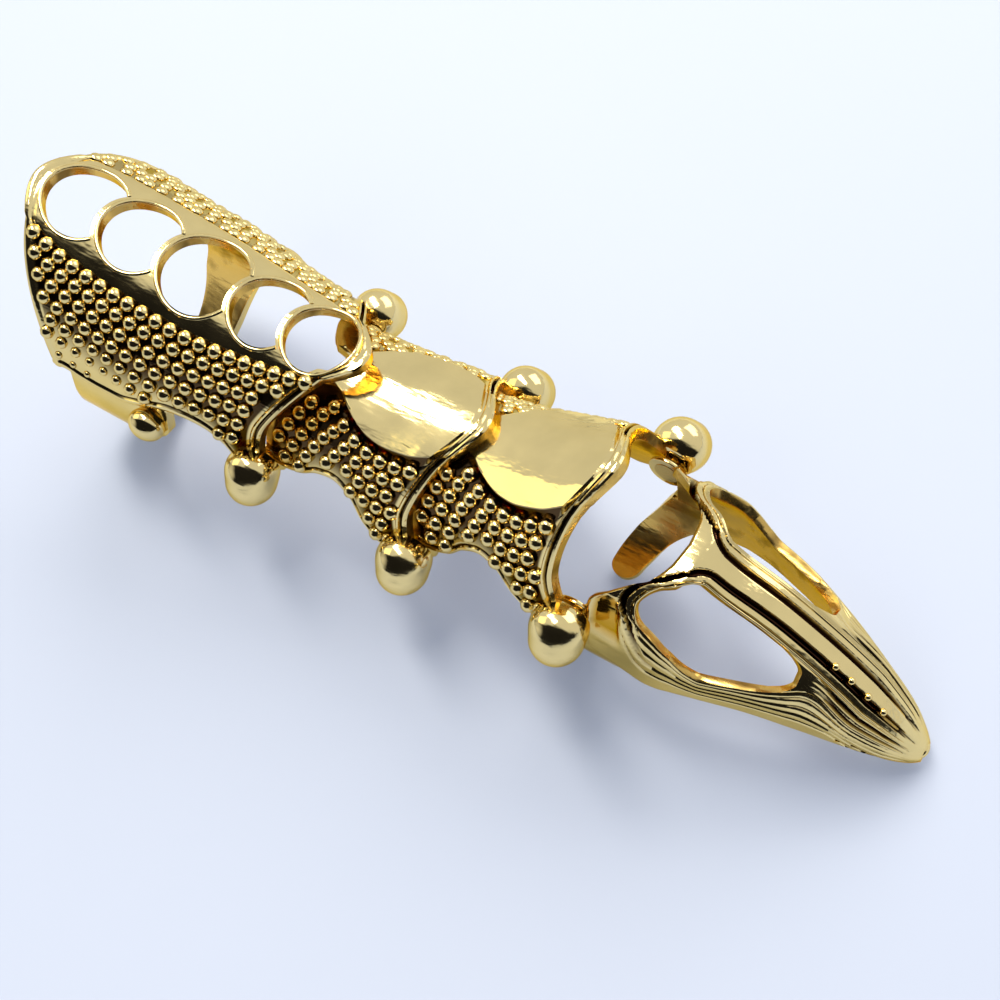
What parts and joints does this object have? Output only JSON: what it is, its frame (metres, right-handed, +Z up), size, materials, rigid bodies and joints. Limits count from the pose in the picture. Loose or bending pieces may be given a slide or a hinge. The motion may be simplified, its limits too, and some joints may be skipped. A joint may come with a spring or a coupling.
{
  "type": "knuckle armor ring",
  "caption": "Full-finger armor ring: a pierced and studded base plate on an open finger band, two hinged knuckle plates and a hinged openwork claw tip.",
  "frame": {"origin": "middle of the box on the surface the ring lies on", "axes": "+X along the finger towards the claw tip, +Z up through the crest, +Y to the left side"},
  "size_m": [0.085, 0.0246, 0.027],
  "materials": {
    "gold_plate": "polished bright yellow gold plate",
    "pin_metal": "satin gold plate"
  },
  "bodies": {
    "base": {"base_plate": "gold_plate", "hinge_pin_1_left": "pin_metal", "hinge_pin_1_right": "pin_metal"},
    "plate_1": {"knuckle_plate_1": "gold_plate", "hinge_pin_2_left": "pin_metal", "hinge_pin_2_right": "pin_metal"},
    "plate_2": {"knuckle_plate_2": "gold_plate", "hinge_pin_3_left": "pin_metal", "hinge_pin_3_right": "pin_metal"},
    "claw": {"claw_tip": "gold_plate"}
  },
  "joints": [
    {"name": "knuckle_1", "type": "hinge", "parent": "base", "child": "plate_1", "pos_m": [-0.0165, 0, 0.0106], "axis": [0, 1, 0], "range_deg": [-5, 60]},
    {"name": "knuckle_2", "type": "hinge", "parent": "plate_1", "child": "plate_2", "pos_m": [-0.00062, 0, 0.00913], "axis": [0, 1, 0], "range_deg": [0, 60]},
    {"name": "knuckle_3", "type": "hinge", "parent": "plate_2", "child": "claw", "pos_m": [0.01499, 0, 0.01242], "axis": [0, 1, 0], "range_deg": [-10, 60]}
  ]
}
